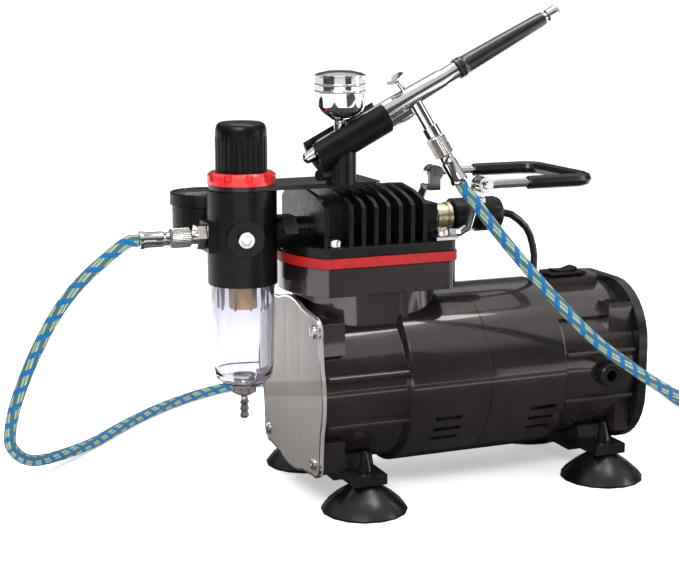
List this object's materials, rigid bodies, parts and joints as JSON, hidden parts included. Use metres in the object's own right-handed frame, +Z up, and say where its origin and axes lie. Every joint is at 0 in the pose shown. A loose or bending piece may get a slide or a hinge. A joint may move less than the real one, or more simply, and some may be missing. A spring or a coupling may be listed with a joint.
{
  "type": "airbrush compressor",
  "caption": "Small piston air compressor with filter regulator, carrying handle, airbrush in its rest and braided hose.",
  "frame": {"origin": "on the table, under the middle of the machine's bounding box without its free hose", "axes": "+Z up, +X along the motor axis away from the regulator, -Y the side with the airbrush and the cord inlet"},
  "size_m": [0.5008, 0.3072, 0.2838],
  "materials": {
    "metallic_paint": "gloss metallic",
    "head_paint": "satin",
    "black_paint": "satin",
    "aluminium": "brushed",
    "steel": "satin",
    "chrome": "polished",
    "nickel": "satin",
    "brass": "satin",
    "copper": "enamelled wire",
    "red_gasket": "satin",
    "red_plastic": "gloss",
    "black_plastic": "satin",
    "black_rubber": "satin",
    "clear_plastic": "clear",
    "filter_bronze": "matt sintered",
    "hose_blue": "braided"
  },
  "bodies": {
    "machine": {"crankcase": "metallic_paint", "rear_housing": "metallic_paint", "front_end_plate": "aluminium", "rear_end_cover": "black_paint", "stator_core": "steel", "stator_windings": "copper", "bearing_front": "steel", "bearing_rear": "steel", "cylinder_sleeve": "steel", "valve_plate": "steel", "head_gasket": "red_gasket", "cylinder_head": "head_paint", "head_bolt_1": "nickel", "head_bolt_2": "nickel", "head_bolt_3": "nickel", "head_bolt_4": "nickel", "foot_bracket_left": "black_paint", "foot_bracket_right": "black_paint", "suction_foot_1": "black_rubber", "suction_foot_2": "black_rubber", "suction_foot_3": "black_rubber", "suction_foot_4": "black_rubber", "inlet_fitting": "black_paint", "regulator_body": "black_plastic", "lock_ring": "red_plastic", "filter_element": "filter_bronze", "outlet_nipple": "nickel", "gauge_case": "black_plastic", "holder_bracket": "black_paint", "airbrush_holder": "black_plastic", "handle_post_front": "chrome", "handle_post_rear": "chrome", "pressure_switch": "black_plastic", "brass_fitting": "brass", "switch_cable": "black_rubber", "rocker_base": "black_plastic", "cable_grommet": "black_rubber", "airbrush_body": "chrome", "paint_cup": "chrome", "tail_handle": "black_paint", "hose_nut_regulator": "nickel", "hose_nut_airbrush": "nickel", "hose_left": "hose_blue", "hose_right": "hose_blue", "hose_coil": "hose_blue"},
    "rotor": {"rotor_shaft": "steel", "cooling_fan": "black_plastic"},
    "piston": {"piston": "aluminium"},
    "connecting_rod": {"connecting_rod": "aluminium"},
    "handle": {"handle_rod": "chrome", "handle_grip": "black_rubber"},
    "adjusting_screw": {"adjusting_screw": "steel"},
    "knob": {"pressure_knob": "black_plastic"},
    "bowl": {"filter_bowl": "clear_plastic"},
    "drain": {"drain_valve": "nickel"},
    "gauge_needle": {"gauge_needle": "red_plastic"},
    "rocker": {"rocker_switch": "black_plastic"},
    "trigger": {"trigger": "chrome"},
    "tail_knob": {"tail_knob": "chrome"},
    "lid": {"cup_lid": "chrome"}
  },
  "joints": [
    {"name": "rotor_spin", "type": "hinge", "parent": "machine", "child": "rotor", "pos_m": [0.0286, 0, 0.066], "axis": [1, 0, 0], "continuous": true},
    {"name": "piston_stroke", "type": "slide", "parent": "machine", "child": "piston", "axis": [0, 0, 1], "range_m": [-0.016, 0]},
    {"name": "rod_swing", "type": "hinge", "parent": "piston", "child": "connecting_rod", "pos_m": [-0.0354, 0, 0.124], "axis": [1, 0, 0], "range_deg": [-9, 9]},
    {"name": "handle_fold", "type": "hinge", "parent": "machine", "child": "handle", "pos_m": [0.0296, 0, 0.182], "axis": [0, -1, 0], "range_deg": [0, 60]},
    {"name": "pressure_turn", "type": "hinge", "parent": "machine", "child": "adjusting_screw", "pos_m": [-0.1064, 0, 0.182], "axis": [0, 0, 1], "range_deg": [-180, 540]},
    {"name": "knob_pull", "type": "slide", "parent": "adjusting_screw", "child": "knob", "axis": [0, 0, 1], "range_m": [0, 0.003]},
    {"name": "bowl_turn", "type": "hinge", "parent": "machine", "child": "bowl", "pos_m": [-0.1064, 0, 0.134], "axis": [0, 0, 1], "range_deg": [0, 60]},
    {"name": "drain_turn", "type": "hinge", "parent": "bowl", "child": "drain", "pos_m": [-0.1064, 0, 0.069], "axis": [0, 0, 1], "range_deg": [0, 90]},
    {"name": "needle_sweep", "type": "hinge", "parent": "machine", "child": "gauge_needle", "pos_m": [-0.1159, 0.0412, 0.1735], "axis": [0, 0, -1], "range_deg": [0, 270]},
    {"name": "rocker_tilt", "type": "hinge", "parent": "machine", "child": "rocker", "pos_m": [0.1046, 0, 0.119], "axis": [0, 1, 0], "range_deg": [0, 12]},
    {"name": "trigger_rock", "type": "hinge", "parent": "machine", "child": "trigger", "pos_m": [-0.0172, -0.025, 0.2323], "axis": [0, 1, 0], "range_deg": [0, 15], "stiffness_Nm_per_rad": 0.01, "springref_deg": -5.73},
    {"name": "tail_knob_turn", "type": "hinge", "parent": "machine", "child": "tail_knob", "pos_m": [0.0732, -0.025, 0.2774], "axis": [0.8894, 0, 0.4571], "range_deg": [-180, 180]},
    {"name": "lid_lift", "type": "slide", "parent": "machine", "child": "lid", "axis": [0, 0, 1], "range_m": [0, 0.012]}
  ]
}
